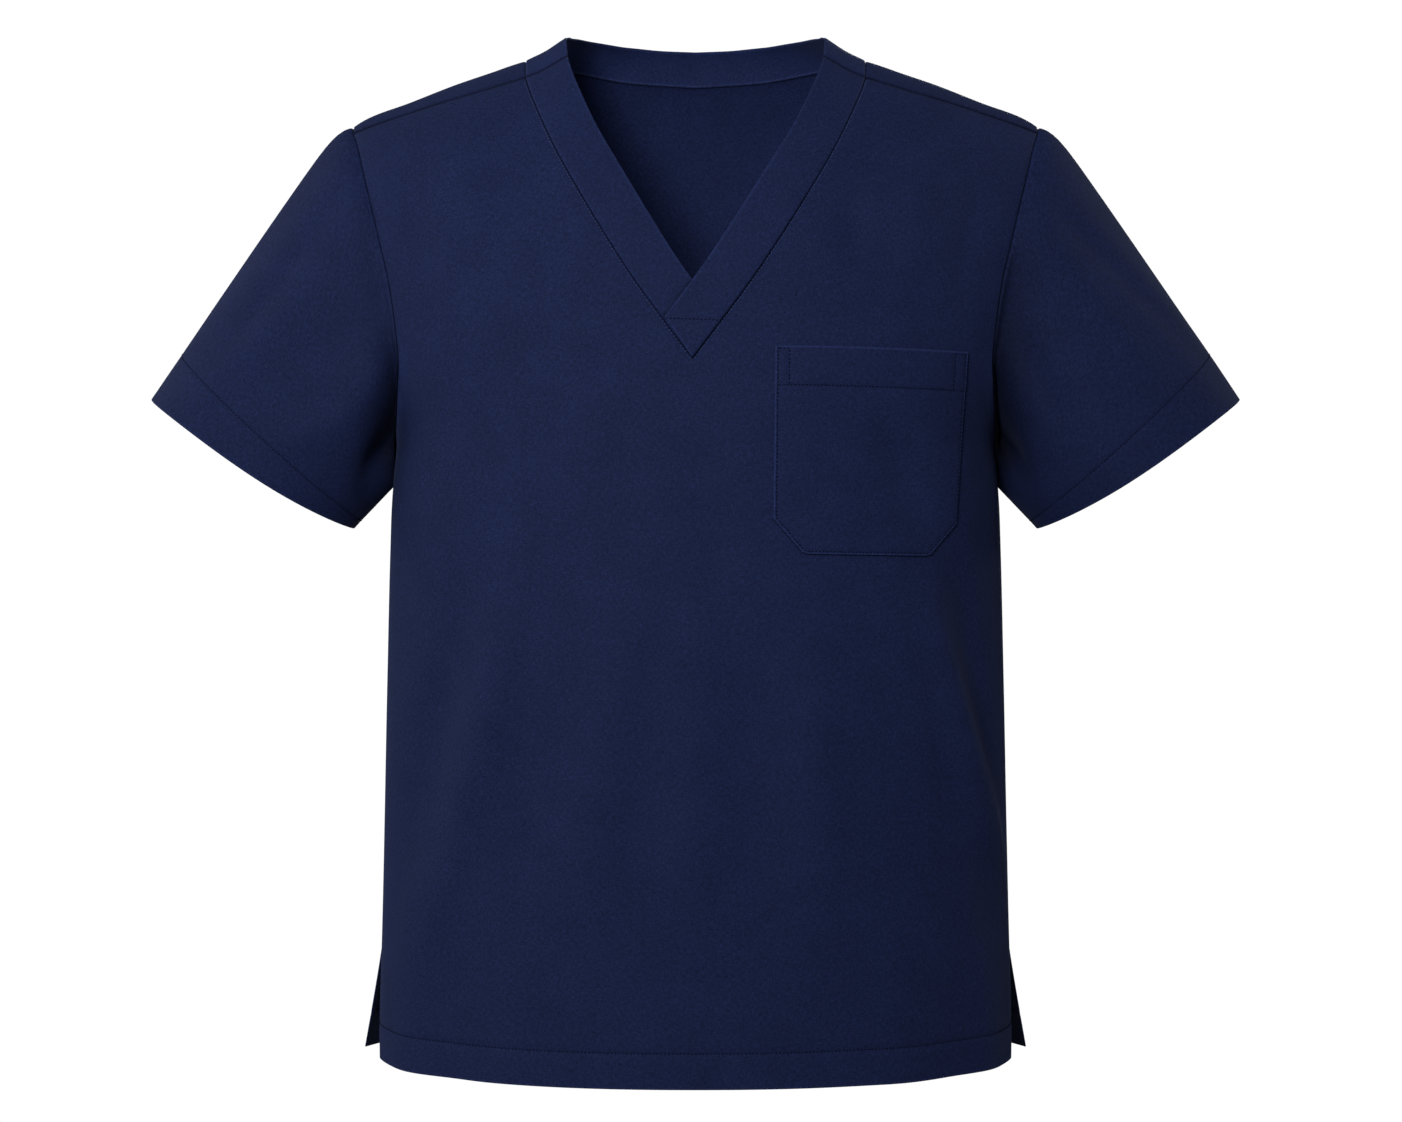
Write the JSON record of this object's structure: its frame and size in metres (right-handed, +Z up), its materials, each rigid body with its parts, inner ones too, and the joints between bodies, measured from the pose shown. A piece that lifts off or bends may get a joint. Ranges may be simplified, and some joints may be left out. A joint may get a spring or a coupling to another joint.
{
  "type": "scrub top",
  "caption": "Short-sleeved V-neck scrub top with a chest patch pocket and side vents, hollow and filled out as if worn.",
  "frame": {"origin": "on the line over the shoulders at the base of the neck, midway between the sleeves, where the wearer's shoulders carry the top", "axes": "+X to the wearer's left, -Y out of the front, +Z up"},
  "size_m": [0.765, 0.265, 0.7215],
  "materials": {
    "navy_cloth": "matte plain weave, slight sheen"
  },
  "bodies": {
    "root": {"front": "navy_cloth", "back": "navy_cloth", "sleeve_left": "navy_cloth", "sleeve_right": "navy_cloth", "neckband_front_left": "navy_cloth", "neckband_front_right": "navy_cloth", "neckband_back": "navy_cloth", "chest_pocket": "navy_cloth"}
  },
  "joints": []
}
